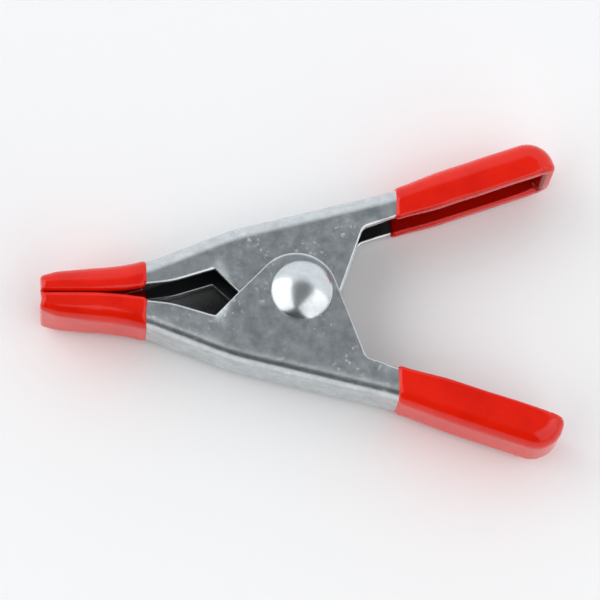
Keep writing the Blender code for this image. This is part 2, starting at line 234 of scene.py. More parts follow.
@dataclass(frozen=True)
class LeverPlan:
    """A lever's outline, seen along the rivet, and the section of its channel.

    bend_radius only sets where the free edge starts. The bends themselves are soft_bend
    wide, or bend_share of what the flange leaves them, if that is less.
    """

    jaw_reach: float = 50.8 * MM
    handle_reach: float = 50.8 * MM
    sheet: float = 1.2 * MM
    bend_radius: float = 2.2 * MM
    soft_bend: float = 2.9 * MM
    bend_share: float = 0.86
    half_width: float = 6.8 * MM
    vinyl: float = 0.9 * MM
    jaw_gap: float = 0.3 * MM

    web_offset: float = 16.45 * MM
    body_slope: float = math.radians(13.9)
    handle_slope: float = math.radians(18.8)
    nose_slope: float = math.radians(7.0)
    handle_bend_x: float = -17.3 * MM
    shoulder_x: float = 13.5 * MM
    nose_bend_x: float = 33.0 * MM
    web_blend: float = 45.0 * MM
    handle_end_radius: float = 4.6 * MM
    nose_drop_run: float = 2.5 * MM
    nose_drop_slope: float = math.radians(19.0)
    nose_blend: float = 6.0 * MM
    nose_depth: float = 1.7 * MM

    handle_depth: float = 5.7 * MM
    handle_trim: float = 1.2 * MM
    notch_radius: float = 2.0 * MM
    ear_back: float = 7.0 * MM
    ear_back_slope: float = math.radians(70.0)
    ear_radius: float = 8.0 * MM
    ear_front_slope: float = math.radians(45.0)
    window_x: float = 16.7 * MM
    window_half: float = 4.6 * MM
    window_corner: float = 0.7 * MM
    window_sweep_x: float = 25.0 * MM
    window_sweep_rise: float = 1.0 * MM
    window_end_x: float = 34.0 * MM
    window_blend: float = 20.0 * MM

    rear_step_x: float = -13.8 * MM
    rear_step_run: float = 4.0 * MM
    front_step_lead: float = 3.3 * MM
    front_step_run: float = 5.2 * MM
    step_reach: float = 5.3 * MM
    fineness: float = 0.3 * MM

    @property
    def face_y(self) -> float:
        """Where the steel's clamping edge lies, off the centre line."""
        return self.jaw_gap / 2.0 + self.vinyl

    def web_y(self, x: float) -> float:
        """Return the straight middle of the web at x, off the centre line."""
        return self.web_offset - x * math.tan(self.body_slope)

    def handle(self) -> tuple[np.ndarray, np.ndarray, np.ndarray]:
        """Work out where the handle ends and how it lies.

        Returns:
            The end's corner on the web, the direction to it, and the way inwards.
        """
        to_tip = np.array((-math.cos(self.handle_slope), math.sin(self.handle_slope)))
        inward = -turned_in(to_tip)
        bend = np.array((self.handle_bend_x, self.web_y(self.handle_bend_x)))
        end_x = -self.handle_reach - inward[0] * (self.handle_depth + self.vinyl)
        end_x -= to_tip[0] * self.vinyl
        return bend + to_tip * (end_x - self.handle_bend_x) / to_tip[0], to_tip, inward

    def web_line(self) -> np.ndarray:
        """Draw the web's outer face in the plan, from the handle's end to the nose.

        Returns:
            The polyline's points.
        """
        end, _, inward = self.handle()
        wall_end = end + inward * self.handle_depth
        slope = self.nose_drop_slope
        nose_x = self.jaw_reach - self.vinyl * (math.cos(slope) + math.sin(slope))
        nose_y = self.face_y + self.nose_depth
        knee_x = nose_x - self.nose_drop_run
        knee_y = nose_y + self.nose_drop_run * math.tan(slope)
        bend_y = knee_y + (knee_x - self.nose_bend_x) * math.tan(self.nose_slope)
        return rounded([
            (*wall_end, 0.0),
            (*end, self.handle_end_radius),
            (self.handle_bend_x, self.web_y(self.handle_bend_x), self.web_blend),
            (self.shoulder_x, self.web_y(self.shoulder_x), self.web_blend),
            (self.nose_bend_x, bend_y, self.web_blend),
            (knee_x, knee_y, self.nose_blend),
            (nose_x, nose_y, 0.0),
        ], self.fineness)

    def free_edge(self, nose_x: float) -> np.ndarray:
        """Draw the flange's free edge in the plan, from the handle's end to the nose.

        Args:
            nose_x: The x at which the nose ends.

        Returns:
            The polyline's points.
        """
        end, to_tip, inward = self.handle()
        start = end + inward * self.handle_depth
        start -= to_tip * (self.bend_radius + self.sheet / 2.0)
        back_along = np.array((math.cos(self.ear_back_slope), -math.sin(self.ear_back_slope)))
        back_point = turned_in(back_along) * self.ear_back
        front_along = np.array((math.cos(self.ear_front_slope), math.sin(self.ear_front_slope)))
        window = np.array((self.window_x, self.window_half))
        notch = crossing(start, to_tip, back_point, back_along)
        lobe = crossing(back_point, back_along, window, front_along)
        return rounded([
            (*start, 0.0),
            (*notch, self.notch_radius),
            (*lobe, self.ear_radius),
            (self.window_x, self.window_half, self.window_corner),
            (self.window_sweep_x, self.face_y + self.window_sweep_rise, self.window_blend),
            (self.window_end_x, self.face_y, self.window_blend),
            (nose_x, self.face_y, 0.0),
        ], self.fineness)


@dataclass
class Stations:
    """What the channel is like at each of an array of rows."""

    point: np.ndarray
    inward: np.ndarray
    along: np.ndarray
    bend: np.ndarray
    depth: np.ndarray
    step: np.ndarray


@dataclass
class Channel:
    """A lever's bent sheet as a surface of two parameters.

    A row is a distance along the web's outer face. A column is a place on the sheet's
    closed outline in that row's section, where a point has a depth, measured inwards
    from the web's outer face and on along the flange, and a height above the middle of
    the rivet.
    """

    side: Side
    ear_step: float
    plan: LeverPlan = field(default_factory=LeverPlan)
    lip_steps: int = 4
    bend_steps: int = 8
    flange_shares: tuple[float, ...] = (0.0, 0.012, 0.1, 0.3, 0.5, 0.7, 0.9, 0.988)
    web_shares: tuple[float, ...] = (0.0, 0.03, 0.2, 0.4, 0.6, 0.8, 0.97)
    slope_reach: float = 0.2 * MM

    def __post_init__(self) -> None:
        """Lay out the web, the free edge that faces it, and the outline's columns."""
        self.web = self.plan.web_line()
        self.scale = lengths(self.web)
        self.end = float(self.scale[-1])
        self.edge = self.plan.free_edge(float(self.web[-1, 0]))
        matched = feet(self.web, self.edge)
        matched[0], matched[-1] = 0.0, self.end
        self.matched = np.maximum.accumulate(matched)
        corner = np.array([(self.plan.window_x, self.plan.window_half)])
        rear = self.row_at(self.plan.rear_step_x)
        front = float(feet(self.web, corner)[0]) - self.plan.front_step_lead
        self.rear_step = (rear - self.plan.rear_step_run, rear)
        self.front_step = (front, front + self.plan.front_step_run)
        self.segments, self.shares, self.signs = self.columns()

    def row_at(self, x: float) -> float:
        """Return the row where the web's outer face passes x, ahead of the handle's end."""
        rearmost = np.argmin(self.web[:, 0])
        return float(np.interp(x, self.web[rearmost:, 0], self.scale[rearmost:]))

    def columns(self) -> tuple[np.ndarray, np.ndarray, np.ndarray]:
        """Lay out the outline's columns, all the way round the section.

        Returns:
            Each column's segment, its share of that segment, and +1 on the upper flange
            or -1 on the lower one.
        """
        lip = np.arange(self.lip_steps) / self.lip_steps
        bend = np.arange(self.bend_steps) / self.bend_steps
        flange = np.array(self.flange_shares)
        web = np.array(self.web_shares)
        rim = np.array((0.0,))
        # The way back along a segment starts at its end, so its shares run from one down.
        stretches = (
            (Segment.LIP_OUT, lip, 1), (Segment.FLANGE_OUT, flange, 1), (Segment.BEND_OUT, bend, 1),
            (Segment.WEB_OUT, web, 1),
            (Segment.BEND_OUT, 1.0 - bend, -1), (Segment.FLANGE_OUT, 1.0 - flange, -1),
            (Segment.LIP_OUT, 1.0 - lip, -1), (Segment.RIM, rim, -1),
            (Segment.LIP_IN, lip, -1), (Segment.FLANGE_IN, flange, -1), (Segment.BEND_IN, bend, -1),
            (Segment.WEB_IN, web, -1),
            (Segment.BEND_IN, 1.0 - bend, 1), (Segment.FLANGE_IN, 1.0 - flange, 1),
            (Segment.LIP_IN, 1.0 - lip, 1), (Segment.RIM, 1.0 - rim, 1),
        )
        return (
            np.concatenate([np.full(len(share), kind.value) for kind, share, _ in stretches]),
            np.concatenate([share for _, share, _ in stretches]),
            np.concatenate([np.full(len(share), sign) for _, share, sign in stretches]),
        )

    def rows(self, first: float, last: float) -> np.ndarray:
        """Choose the rows of a loft: evenly spaced ones, and those of the edge's points.

        Where rows crowd together, one is kept in each third of the spacing.

        Args:
            first: The first row.
            last: The last row.

        Returns:
            The rows, in order.
        """
        spaced = np.arange(first, last, self.plan.fineness)
        wanted = np.sort(np.concatenate((spaced, self.matched)))
        gap = self.plan.fineness / 3.0
        wanted = wanted[(wanted > first + gap) & (wanted < last - gap)]
        slots = np.floor((wanted - first) / gap)
        keep = np.concatenate(((True,), np.diff(slots) > 0))
        return np.concatenate(((first,), wanted[keep], (last,)))

    def on(self, *segments: Segment) -> np.ndarray:
        """Return which columns lie on the given segments."""
        return np.isin(self.segments, [segment.value for segment in segments])

    def hollow(self) -> np.ndarray:
        """Return which columns lie inside the channel."""
        return self.on(Segment.FLANGE_IN, Segment.BEND_IN, Segment.WEB_IN)

    def at(self, rows: np.ndarray, reach: np.ndarray) -> Stations:
        """Work out the stations of an array of rows.

        Directions are central differences over slope_reach. Rows before the first or
        past the last run straight on. The ears' step is eased in and out over each
        step's run.

        Args:
            rows: The rows, in an array of any shape.
            reach: How far the free edge is moved out, for each row.

        Returns:
            The stations, each value shaped like rows.
        """
        inside = np.clip(rows, 0.0, self.end)
        behind = np.maximum(inside - self.slope_reach, 0.0)
        ahead = np.minimum(inside + self.slope_reach, self.end)
        point = sampled(self.scale, self.web, inside)
        edge = sampled(self.matched, self.edge, inside)
        tangent, rim = (
            unit(sampled(scale, line, ahead) - sampled(scale, line, behind))
            for scale, line in ((self.scale, self.web), (self.matched, self.edge))
        )
        lip = (self.plan.nose_depth - self.plan.sheet) / 2.0
        room = np.linalg.norm(edge - point, axis=-1) - lip
        bend = np.minimum(self.plan.soft_bend, room * self.plan.bend_share)
        beyond = tangent * (rows - inside)[..., None]
        point = point + beyond
        edge = edge + rim * np.sum(rim * beyond, axis=-1)[..., None]
        edge = edge + turned_in(rim) * reach[..., None]
        inward = turned_in(tangent)
        run = edge - point - inward * bend[..., None]
        return Stations(
            point=point,
            inward=inward,
            along=unit(run),
            bend=bend,
            depth=bend + np.linalg.norm(run, axis=-1),
            step=self.ear_step * (
                eased(inside, *self.rear_step) - eased(inside, *self.front_step)),
        )

    def outline(self, at: Stations, growth: np.ndarray, lip: float,
                inner_fillet: float) -> tuple[np.ndarray, np.ndarray]:
        """Return the depth and height of every column in every row.

        The outline is the sheet's section grown by growth. Lips and bends are quarter
        circles, r cos a and r sin a about their centres, and the rest is straight.

        Args:
            at: The stations, one for each row and column.
            growth: The growth, for each row and column.
            lip: The radius of the free edge's corners.
            inner_fillet: The least radius inside the bends.

        Returns:
            The depths and the heights.
        """
        quarter = self.shares * (math.pi / 2.0)
        cos, sin = np.cos(quarter), np.sin(quarter)
        sheet = self.plan.sheet
        outside = self.plan.half_width + growth
        inside = self.plan.half_width - sheet - growth
        wall = sheet + growth
        spare = np.maximum(at.depth - wall, 0.0) / 2.0
        corner = np.minimum(lip, np.minimum((outside - inside) / 2.0, spare + growth))
        corner_in = np.minimum(corner, spare)
        turn_in = np.minimum(np.maximum(at.bend - sheet - growth, inner_fillet), spare)
        rim_out, rim_in = at.depth - corner, at.depth - corner_in
        flat_in = wall + turn_in
        shape = {
            Segment.LIP_OUT: (rim_out + corner * cos, outside - corner + corner * sin),
            Segment.FLANGE_OUT: (rim_out + (at.bend - rim_out) * self.shares, outside),
            Segment.BEND_OUT: (
                at.bend - (at.bend + growth) * sin,
                self.plan.half_width - at.bend + (at.bend + growth) * cos,
            ),
            Segment.WEB_OUT: (
                -growth, (self.plan.half_width - at.bend) * (1.0 - 2.0 * self.shares)),
            Segment.LIP_IN: (rim_in + corner_in * cos, inside + corner_in - corner_in * sin),
            Segment.FLANGE_IN: (rim_in + (flat_in - rim_in) * self.shares, inside),
            Segment.BEND_IN: (flat_in - turn_in * sin, inside - turn_in + turn_in * cos),
            Segment.WEB_IN: (wall, (inside - turn_in) * (1.0 - 2.0 * self.shares)),
            Segment.RIM: (
                at.depth, np.where(self.signs > 0, inside + corner_in, outside - corner)),
        }
        depth, height = np.zeros(at.depth.shape), np.zeros(at.depth.shape)
        for kind, (depths, heights) in shape.items():
            here = self.on(kind)
            depth[:, here] = np.broadcast_to(depths, depth.shape)[:, here]
            height[:, here] = np.broadcast_to(heights, depth.shape)[:, here]
        return depth, height * self.signs

    def surface(self, rows: np.ndarray, growth: np.ndarray | float, lip: float,
                inner_fillet: float, reach: np.ndarray | None = None) -> np.ndarray:
        """Put the outline of every row into space.

        A point lies its depth inwards from the web's face, up to the bend's radius, and
        the rest of the depth along the flange, towards the free edge. From the bend on,
        the ears' step is eased in over step_reach.

        Args:
            rows: One row for each ring, or one for each ring and column.
            growth: The growth beyond the sheet, alike, or one value for each ring or for all.
            lip: The radius of the free edge's corners.
            inner_fillet: The least radius inside the bends.
            reach: The growth of the free edge, where it isn't that of the rest.

        Returns:
            Points shaped (rings, columns, 3).
        """
        count = len(self.segments)
        wide = np.broadcast_to(rows if rows.ndim == 2 else rows[:, None], (len(rows), count))
        grown = np.asarray(growth, dtype=float)
        grown = grown[:, None] if grown.ndim == 1 else grown
        grown = np.broadcast_to(grown, wide.shape)
        at = self.at(wide, grown if reach is None else reach)
        depth, height = self.outline(at, grown, lip, inner_fillet)
        height = height + self.signs * at.step * eased(
            depth - at.bend, 0.0, self.plan.step_reach)
        plan = (
            at.point
            + at.inward * np.minimum(depth, at.bend)[..., None]
            + at.along * np.maximum(depth - at.bend, 0.0)[..., None]
        )
        return np.stack((plan[..., 0], plan[..., 1] * self.side.value, PIVOT.z + height), axis=-1)


# ------------------------------------------------------------------ mesh making


def add_object(name: str, data: ID) -> Object:
    """Put a mesh, lamp or camera into the scene as an object at the origin.

    Args:
        name: The object's name.
        data: The mesh, lamp or camera.

    Returns:
        The new object.
    """
    made = bpy.data.objects.new(name, data)
    bpy.context.scene.collection.objects.link(made)
    return made


def mesh_object(name: str, points: np.ndarray, faces: list[list[int]]) -> Object:
    """Make a smooth-shaded mesh object at the origin, with its faces pointing out.

    Args:
        name: The piece's name.
        points: The vertices, one row each.
        faces: The vertex numbers of each face.

    Returns:
        The new object, linked to the scene.
    """
    mesh = bpy.data.meshes.new(name)
    mesh.from_pydata(points.tolist(), [], faces)
    shape = bmesh.new()
    shape.from_mesh(mesh)
    bmesh.ops.recalc_face_normals(shape, faces=shape.faces)
    shape.to_mesh(mesh)
    shape.free()
    mesh.shade_smooth()
    return add_object(name, mesh)


def ring_faces(rings: int, around: int) -> list[list[int]]:
    """Return the quads that join a stack of closed rings.

    Args:
        rings: How many rings there are.
        around: How many points each ring has.

    Returns:
        The four vertex numbers of each quad.
    """
    corners = np.arange(rings * around).reshape(rings, around)
    following = np.roll(corners, -1, axis=1)
    return np.stack((corners[:-1], corners[1:], following[1:], following[:-1]), -1).reshape(
        -1, 4).tolist()


def closed_loft(name: str, rings: np.ndarray) -> Object:
    """Make a solid from a stack of closed rings, with a flat face at each end.

    Args:
        name: The piece's name.
        rings: The points, by ring and then by column.

    Returns:
        The new object.
    """
    count, around = rings.shape[:2]
    ends = [list(range(around)), list(range((count - 1) * around, count * around))]
    return mesh_object(name, rings.reshape(-1, 3), ring_faces(count, around) + ends)


def full_turn(count: int) -> np.ndarray:
    """Return evenly spaced angles, once round."""
    return np.linspace(0.0, 2.0 * math.pi, count, endpoint=False)


def store(obj: Object, name: str, rings: np.ndarray, values: np.ndarray) -> None:
    """Keep one number for each point of a loft under a name that a material reads.

    Args:
        obj: The loft.
        name: The attribute's name.
        rings: The loft's points, by ring and then by column.
        values: The numbers, one for each column.
    """
    layer = obj.data.attributes.new(name, "FLOAT", "POINT")
    spread = np.broadcast_to(values, rings.shape[:2])
    layer.data.foreach_set("value", spread.astype(np.float32).ravel())


def ripple(across: np.ndarray, along: np.ndarray, seed: int, waves: int = 7) -> np.ndarray:
    """Return a smooth uneven field between about -1 and 1.

    It is the mean of sine waves a sin(k.p + c) with seeded directions, lengths and
    phases, so it is the same each run.

    Args:
        across: One coordinate, in radians of the longest wave.
        along: The other coordinate, alike.
        seed: The seed of the waves.
        waves: How many waves are added.

    Returns:
        The field, shaped like the coordinates.
    """
    draw = np.random.default_rng(seed)
    turns = draw.uniform(0.0, 2.0 * math.pi, waves)
    rates = draw.uniform(*RIPPLE_RATES, waves)
    phases = draw.uniform(0.0, 2.0 * math.pi, waves)
    phases = phases + rates * np.cos(turns) * across[..., None]
    return np.sin(phases + rates * np.sin(turns) * along[..., None]).mean(axis=-1) * RIPPLE_GAIN


# ---------------------------------------------------------------- material tools


def srgb(code: str) -> tuple[float, float, float, float]:
    """Turn an sRGB hex colour into the linear colour that a shader takes.

    Each channel c above 0.04045 becomes ((c + 0.055) / 1.055) ^ 2.4, and c / 12.92 below.

    Args:
        code: The colour, such as "#ea1d04".

    Returns:
        Red, green, blue and alpha.
    """
    channels = np.array([int(code[start:start + 2], 16) for start in (1, 3, 5)]) / 255.0
    linear = np.where(channels > 0.04045, ((channels + 0.055) / 1.055) ** 2.4, channels / 12.92)
    return (*(float(channel) for channel in linear), 1.0)


def add_node(tree: NodeTree, kind: str, settings: dict | None = None,
             links: dict | None = None) -> Node:
    """Add a node with its settings and links.

    Args:
        tree: The material's or the world's nodes.
        kind: The node's type, after "ShaderNode".
        settings: Attributes of the node, or values of its inputs by name or number.
        links: What to join to each input, by the input's name or number. It is an
            output socket, or a node, which gives its first output in use.

    Returns:
        The new node.
    """
    made = tree.nodes.new("ShaderNode" + kind)
    for key, value in (settings or {}).items():
        if isinstance(key, str) and hasattr(made, key):
            setattr(made, key, value)
        else:
            made.inputs[key].default_value = value
    for key, source in (links or {}).items():
        if isinstance(source, Node):
            source = next(socket for socket in source.outputs if socket.enabled)
        tree.links.new(source, made.inputs[key])
    return made


def ramp(span: tuple[float, float], values: tuple[float, float] = WHOLE) -> dict:
    """Return the settings that turn a span of a pattern into a span of values."""
    return {"From Min": span[0], "From Max": span[1], "To Min": values[0], "To Max": values[1]}


def bare_material(name: str) -> tuple[Material, NodeTree, NodeSocket]:
    """Start a material with no nodes but the piece's own coordinates.

    Args:
        name: The material's name.

    Returns:
        The material, its node tree and the coordinates.
    """
    made = bpy.data.materials.new(name)
    made.use_nodes = True
    made.node_tree.nodes.clear()
    return made, made.node_tree, add_node(made.node_tree, "TexCoord").outputs["Object"]


@dataclass(frozen=True)
class Cloud:
    """An uneven pattern: the size of its largest cells, and how finely it breaks up.

    It comes in over a span of its noise, or it is a relief as high as its depth.
    """

    size: float
    detail: float = 2.0
    roughness: float = 0.5
    span: tuple[float, float] = (0.35, 0.65)
    depth: float = 0.0

    def settings(self) -> dict:
        """Return the settings of the noise that draws the pattern."""
        return {"Scale": 1.0 / self.size, "Detail": self.detail, "Roughness": self.roughness}

    def lay(self, tree: NodeTree, place: NodeSocket,
            values: tuple[float, float] = WHOLE) -> tuple[Node, Node]:
        """Lay the pattern on a piece, and return its noise and what comes in over its span."""
        noise = add_node(tree, "TexNoise", self.settings(), {"Vector": place})
        return noise, add_node(tree, "MapRange", ramp(self.span, values), {"Value": noise})


def blended(tree: NodeTree, place: NodeSocket, cloud: Cloud, first: str,
            second: str) -> tuple[Node, Node, Node]:
    """Blend two colours by a pattern.

    Args:
        tree: The material's nodes.
        place: The piece's own coordinates.
        cloud: The pattern.
        first: The colour where it is absent.
        second: The colour where it is full.

    Returns:
        The pattern's noise, its share and the colour.
    """
    noise, share = cloud.lay(tree, place)
    colour = add_node(tree, "Mix", {
        "data_type": "RGBA", MIX_A: srgb(first), MIX_B: srgb(second)}, {"Factor": share})
    return noise, share, colour


def surface_with(tree: NodeTree, place: NodeSocket,
                 reliefs: tuple[Cloud, ...], settings: dict, links: dict) -> None:
    """Finish a material: reliefs, each laid over the last, a shader and the output.

    Args:
        tree: The material's nodes.
        place: The piece's own coordinates.
        reliefs: The patterns in relief, from the lowest up.
        settings: The shader's settings.
        links: What to join to the shader's other inputs.
    """
    below = {}
    for cloud in reliefs:
        noise = add_node(tree, "TexNoise", cloud.settings(), {"Vector": place})
        relief = add_node(tree, "Bump", {"Distance": cloud.depth}, {"Height": noise, **below})
        below = {"Normal": relief}
    shader = add_node(tree, "BsdfPrincipled", settings, {**links, **below})
    add_node(tree, "OutputMaterial", links={"Surface": shader})


@dataclass(frozen=True)
class ZincPlate:
    """Cold-rolled steel strip, barrel-plated with bright zinc after stamping.

    Barrels tumble the stampings against each other, so the eye sees an even mid-grey
    sheen, finely mottled, with a few pale flecks and edges paled by wear and by a painted
    highlight. The plating throws poorly into the channel, which is duller, and its darker
    colour there is painted shade.
    """

    name: str = "zinc_plated_steel"
    dark: str = "#b9c0c3"
    light: str = "#d6dbdd"
    # Pale colour of the flecks and edges: wear, and on the cut edges also a painted highlight.
    wear_and_highlight: str = "#eceeef"
    # Painted shade: the channel's darker colour stands in for the shade inside it.
    inside: str = "#45494b"
    roughness: tuple[float, float] = (0.25, 0.42)
    mottle_roughness: float = 0.12
    fleck_roughness: float = 0.15
    fleck_strength: float = 0.75
    mottle: Cloud = Cloud(2.4 * MM, 5.0, 0.65)
    patches: Cloud = Cloud(7.0 * MM, span=(0.46, 0.6))
    flecks: Cloud = Cloud(0.8 * MM, 1.0, span=(0.6, 0.72))
    grain: Cloud = Cloud(0.3 * MM, depth=0.0015 * MM)
    waves: Cloud = Cloud(12.0 * MM, 1.0, depth=0.04 * MM)

    def material(self) -> Material:
        """Build the material.

        The colour is a mottle of two greys, then the flecks, the channel's painted shade and
        the edges' wear with a painted highlight over it. The flecks lie in patches. The
        roughness is greater in the channel, and rises with the mottle and on the flecks.

        Returns:
            The material.
        """
        made, tree, place = bare_material(self.name)
        mottle, _, colour = blended(tree, place, self.mottle, self.dark, self.light)
        flecks = add_node(tree, "Math", {"operation": "MULTIPLY"}, {
            0: self.patches.lay(tree, place)[1],
            1: self.flecks.lay(tree, place, (0.0, self.fleck_strength))[1]})
        inside = add_node(tree, "Attribute", {"attribute_name": "inside"}).outputs["Fac"]
        wear_and_highlight = add_node(tree, "Attribute", {"attribute_name": "wear_and_highlight"}).outputs["Fac"]
        # The channel's colour is painted shade; the pale edges are wear and a painted highlight.
        for share, shade in ((flecks, self.wear_and_highlight), (inside, self.inside), (wear_and_highlight, self.wear_and_highlight)):
            colour = add_node(tree, "Mix", {"data_type": "RGBA", MIX_B: srgb(shade)},
                              {"Factor": share, MIX_A: colour})
        rough = add_node(tree, "MapRange", ramp(WHOLE, self.roughness), {"Value": inside})
        for source, share in ((mottle, self.mottle_roughness), (flecks, self.fleck_roughness)):
            rough = add_node(tree, "Math", {"operation": "MULTIPLY_ADD", 1: share},
                             {0: source, 2: rough})
        surface_with(tree, place, (self.grain, self.waves), {"Metallic": 1.0}, {
            "Base Color": colour, "Roughness": rough})
        return made


@dataclass(frozen=True)
class RivetPlate:
    """Cold-headed steel rivet, bright zinc over a smooth formed dome.

    The dome mirrors the lamps, with a little haze in the plating.
    """

    name: str = "plated_rivet_steel"
    base: str = "#e0e4e6"
    haze: str = "#d0d6d9"
    roughness: tuple[float, float] = (0.28, 0.2)
    rough_span: tuple[float, float] = (0.3, 0.7)
    clouds: Cloud = Cloud(2.4 * MM, 4.0, 0.6)
    grain: Cloud = Cloud(0.3 * MM, depth=0.002 * MM)
    waves: Cloud = Cloud(2.2 * MM, 1.0, depth=0.02 * MM)

    def material(self) -> Material:
        """Build the material. Where the plating is hazy it is darker and rougher.

        Returns:
            The material.
        """
        made, tree, place = bare_material(self.name)
        clouds, _, colour = blended(tree, place, self.clouds, self.haze, self.base)
        rough = add_node(
            tree, "MapRange", ramp(self.rough_span, self.roughness), {"Value": clouds})
        surface_with(tree, place, (self.grain, self.waves), {"Metallic": 1.0}, {
            "Base Color": colour, "Roughness": rough})
        return made


@dataclass(frozen=True)
class SpringWire:
    """Hard-drawn spring wire with a thin dark skin of drawing soap and oil.

    The skin is stained unevenly, with a dull sheen.
    """

    name: str = "spring_wire"
    dark: str = "#4a4c4e"
    light: str = "#85898c"
    roughness: tuple[float, float] = (0.42, 0.26)
    stains: Cloud = Cloud(1.5 * MM, 4.0, 0.6, span=(0.3, 0.7))
    grain: Cloud = Cloud(0.15 * MM, depth=0.004 * MM)

    def material(self) -> Material:
        """Build the material. Where the skin is thick it is darker and rougher.

        Returns:
            The material.
        """
        made, tree, place = bare_material(self.name)
        _, clear, colour = blended(tree, place, self.stains, self.dark, self.light)
        rough = add_node(tree, "MapRange", ramp(WHOLE, self.roughness), {"Value": clear})
        surface_with(tree, place, (self.grain,), {"Metallic": 1.0}, {
            "Base Color": colour, "Roughness": rough})
        return made


@dataclass(frozen=True)
class DippedVinyl:
    """Red vinyl plastisol, hot-dipped and fused on the steel.

    It sets as a thick gloss skin with a soft orange peel. The eye sees a saturated red
    with sharp lamp reflections, deeper where the skin is thick, and darker in the channel,
    where the colour is painted shade.
    """

    name: str = "red_vinyl"
    base: str = "#ea1d04"
    deep: str = "#dc1502"
    # Painted shade: the channel's darker red stands in for the shade inside it.
    channel_painted_shade: str = "#a50d03"
    gloss: float = 0.4
    roughness: tuple[float, float] = (0.1, 0.2)
    clouds: Cloud = Cloud(6.0 * MM, 3.0, span=(0.3, 0.6))
    rubs: Cloud = Cloud(2.2 * MM, 5.0, 0.65, span=(0.35, 0.7))
    peel: Cloud = Cloud(2.4 * MM, 1.5, depth=0.02 * MM)
    grain: Cloud = Cloud(0.25 * MM, depth=0.0006 * MM)

    def material(self) -> Material:
        """Build the material. It is duller where it was rubbed.

        Returns:
            The material.
        """
        made, tree, place = bare_material(self.name)
        colour = blended(tree, place, self.clouds, self.deep, self.base)[2]
        # Painted shade in the channel.
        inside = add_node(tree, "Attribute", {"attribute_name": "inside"}).outputs["Fac"]
        colour = add_node(tree, "Mix", {"data_type": "RGBA", MIX_B: srgb(self.channel_painted_shade)},
                          {"Factor": inside, MIX_A: colour})
        rough = self.rubs.lay(tree, place, self.roughness)[1]
        surface_with(tree, place, (self.peel, self.grain), {"Specular IOR Level": self.gloss}, {
            "Base Color": colour, "Roughness": rough})
        return made


@dataclass(frozen=True)
class StudioPaper:
    """Matt white background paper, with painted shade only where the clamp all but closes it in."""

    name: str = "studio_paper"
    base: str = "#fbfbfb"
    # Painted shade: the paper's colour where the clamp closes it in.
    painted_shade: str = "#2b2c2e"
    roughness: float = 0.9
    gloss: float = 0.1
    cover: float = 22.0 * MM
    sky_samples: int = 16
    open_sky: tuple[float, float] = (0.15, 0.4)
    tooth: Cloud = Cloud(0.8 * MM, depth=0.01 * MM)

    def material(self) -> Material:
        """Build the material. Its colour is darkened, a painted shade, where little open sky is
        left above it.

        Returns:
            The material.
        """
        made, tree, place = bare_material(self.name)
        # Painted shade from the open sky left above the paper.
        sky = add_node(tree, "AmbientOcclusion", {
            "samples": self.sky_samples, "Distance": self.cover})
        clear = add_node(tree, "MapRange", ramp(self.open_sky), {"Value": sky.outputs["AO"]})
        colour = add_node(tree, "Mix", {
            "data_type": "RGBA", MIX_A: srgb(self.painted_shade), MIX_B: srgb(self.base)},
            {"Factor": clear})
        surface_with(tree, place, (self.tooth,), {
            "Roughness": self.roughness, "Specular IOR Level": self.gloss}, {"Base Color": colour})
        return made


# ---------------------------------------------------------------------- pieces


class Piece(ABC):
    """What the pieces of the clamp share: each is built, then takes its CAD node's place."""

    node: str
    body: str
    slot: str

    @abstractmethod
    def build(self) -> Object:
        """Build the piece's mesh object."""

    def place(self, made: Object) -> None:
        """Give the piece its body, in place of its CAD node.

        Args:
            made: The piece's mesh object.
        """
        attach(made, self.body)
        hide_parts(self.node)

    def make(self, finish: Material) -> None:
        """Build the piece, give it its finish and its body, and report it.

        Args:
            finish: The piece's material.
        """
        made = self.build()
        made.data.materials.clear()
        made.data.materials.append(finish)
        self.place(made)
        log.info("%s: %d faces", made.name, len(made.data.polygons))


@dataclass
class StampedLever(Piece):
    """One channel-shaped lever, with its ears stepped in or out and bored for the rivet."""

    name: str
    node: str
    body: str
    channel: Channel
    slot: str = "zinc_plated_steel"
    cut_lip: float = 0.56 * MM
    inner_fillet: float = 0.2 * MM
    # Edge wear also paints a highlight along the cut edges.
    edge_wear_and_highlight: float = 0.35
    bend_wear: float = 0.2
    bore: float = 3.4 * MM
    bore_length: float = 50.0 * MM
    bore_faces: int = 64
    sharp_from: float = math.radians(40.0)

    def build(self) -> Object:
        """Loft the sheet's section along the web, then bore the ears.

        The stored wear is strong on the cut edge, where it also paints a highlight, and weak
        on the outer bends, where the barrel rubs. The attribute named inside is 1 in the
        channel, where the zinc's colour is painted shade.

        Returns:
            The lever.
        """
        rows = self.channel.rows(self.channel.plan.handle_trim, self.channel.end)
        rings = self.channel.surface(rows, 0.0, self.cut_lip, self.inner_fillet)
        lever = closed_loft(self.name, rings)
        bend = self.channel.on(Segment.BEND_OUT)
        edge = self.channel.on(Segment.RIM, Segment.LIP_OUT, Segment.LIP_IN)
        store(lever, "wear_and_highlight", rings, bend * self.bend_wear + edge * self.edge_wear_and_highlight)
        store(lever, "inside", rings, self.channel.hollow())
        self.drill(lever)
        return lever

    def drill(self, lever: Object) -> None:
        """Bore both ears with a cylinder on the rivet's axis.

        Args:
            lever: The lever's object, whose mesh is replaced by the bored one.
        """
        bpy.ops.mesh.primitive_cylinder_add(
            vertices=self.bore_faces, radius=self.bore, depth=self.bore_length, location=PIVOT)
        drill = bpy.context.object
        boolean = lever.modifiers.new("bore", "BOOLEAN")
        boolean.operation = "DIFFERENCE"
        boolean.solver = "EXACT"
        boolean.object = drill
        bored = bpy.data.meshes.new_from_object(
            lever.evaluated_get(bpy.context.evaluated_depsgraph_get()))
        lever.modifiers.clear()
        lever.data = bored
        bored.name = lever.name
        bored.set_sharp_from_angle(angle=self.sharp_from)
        bpy.data.objects.remove(drill)


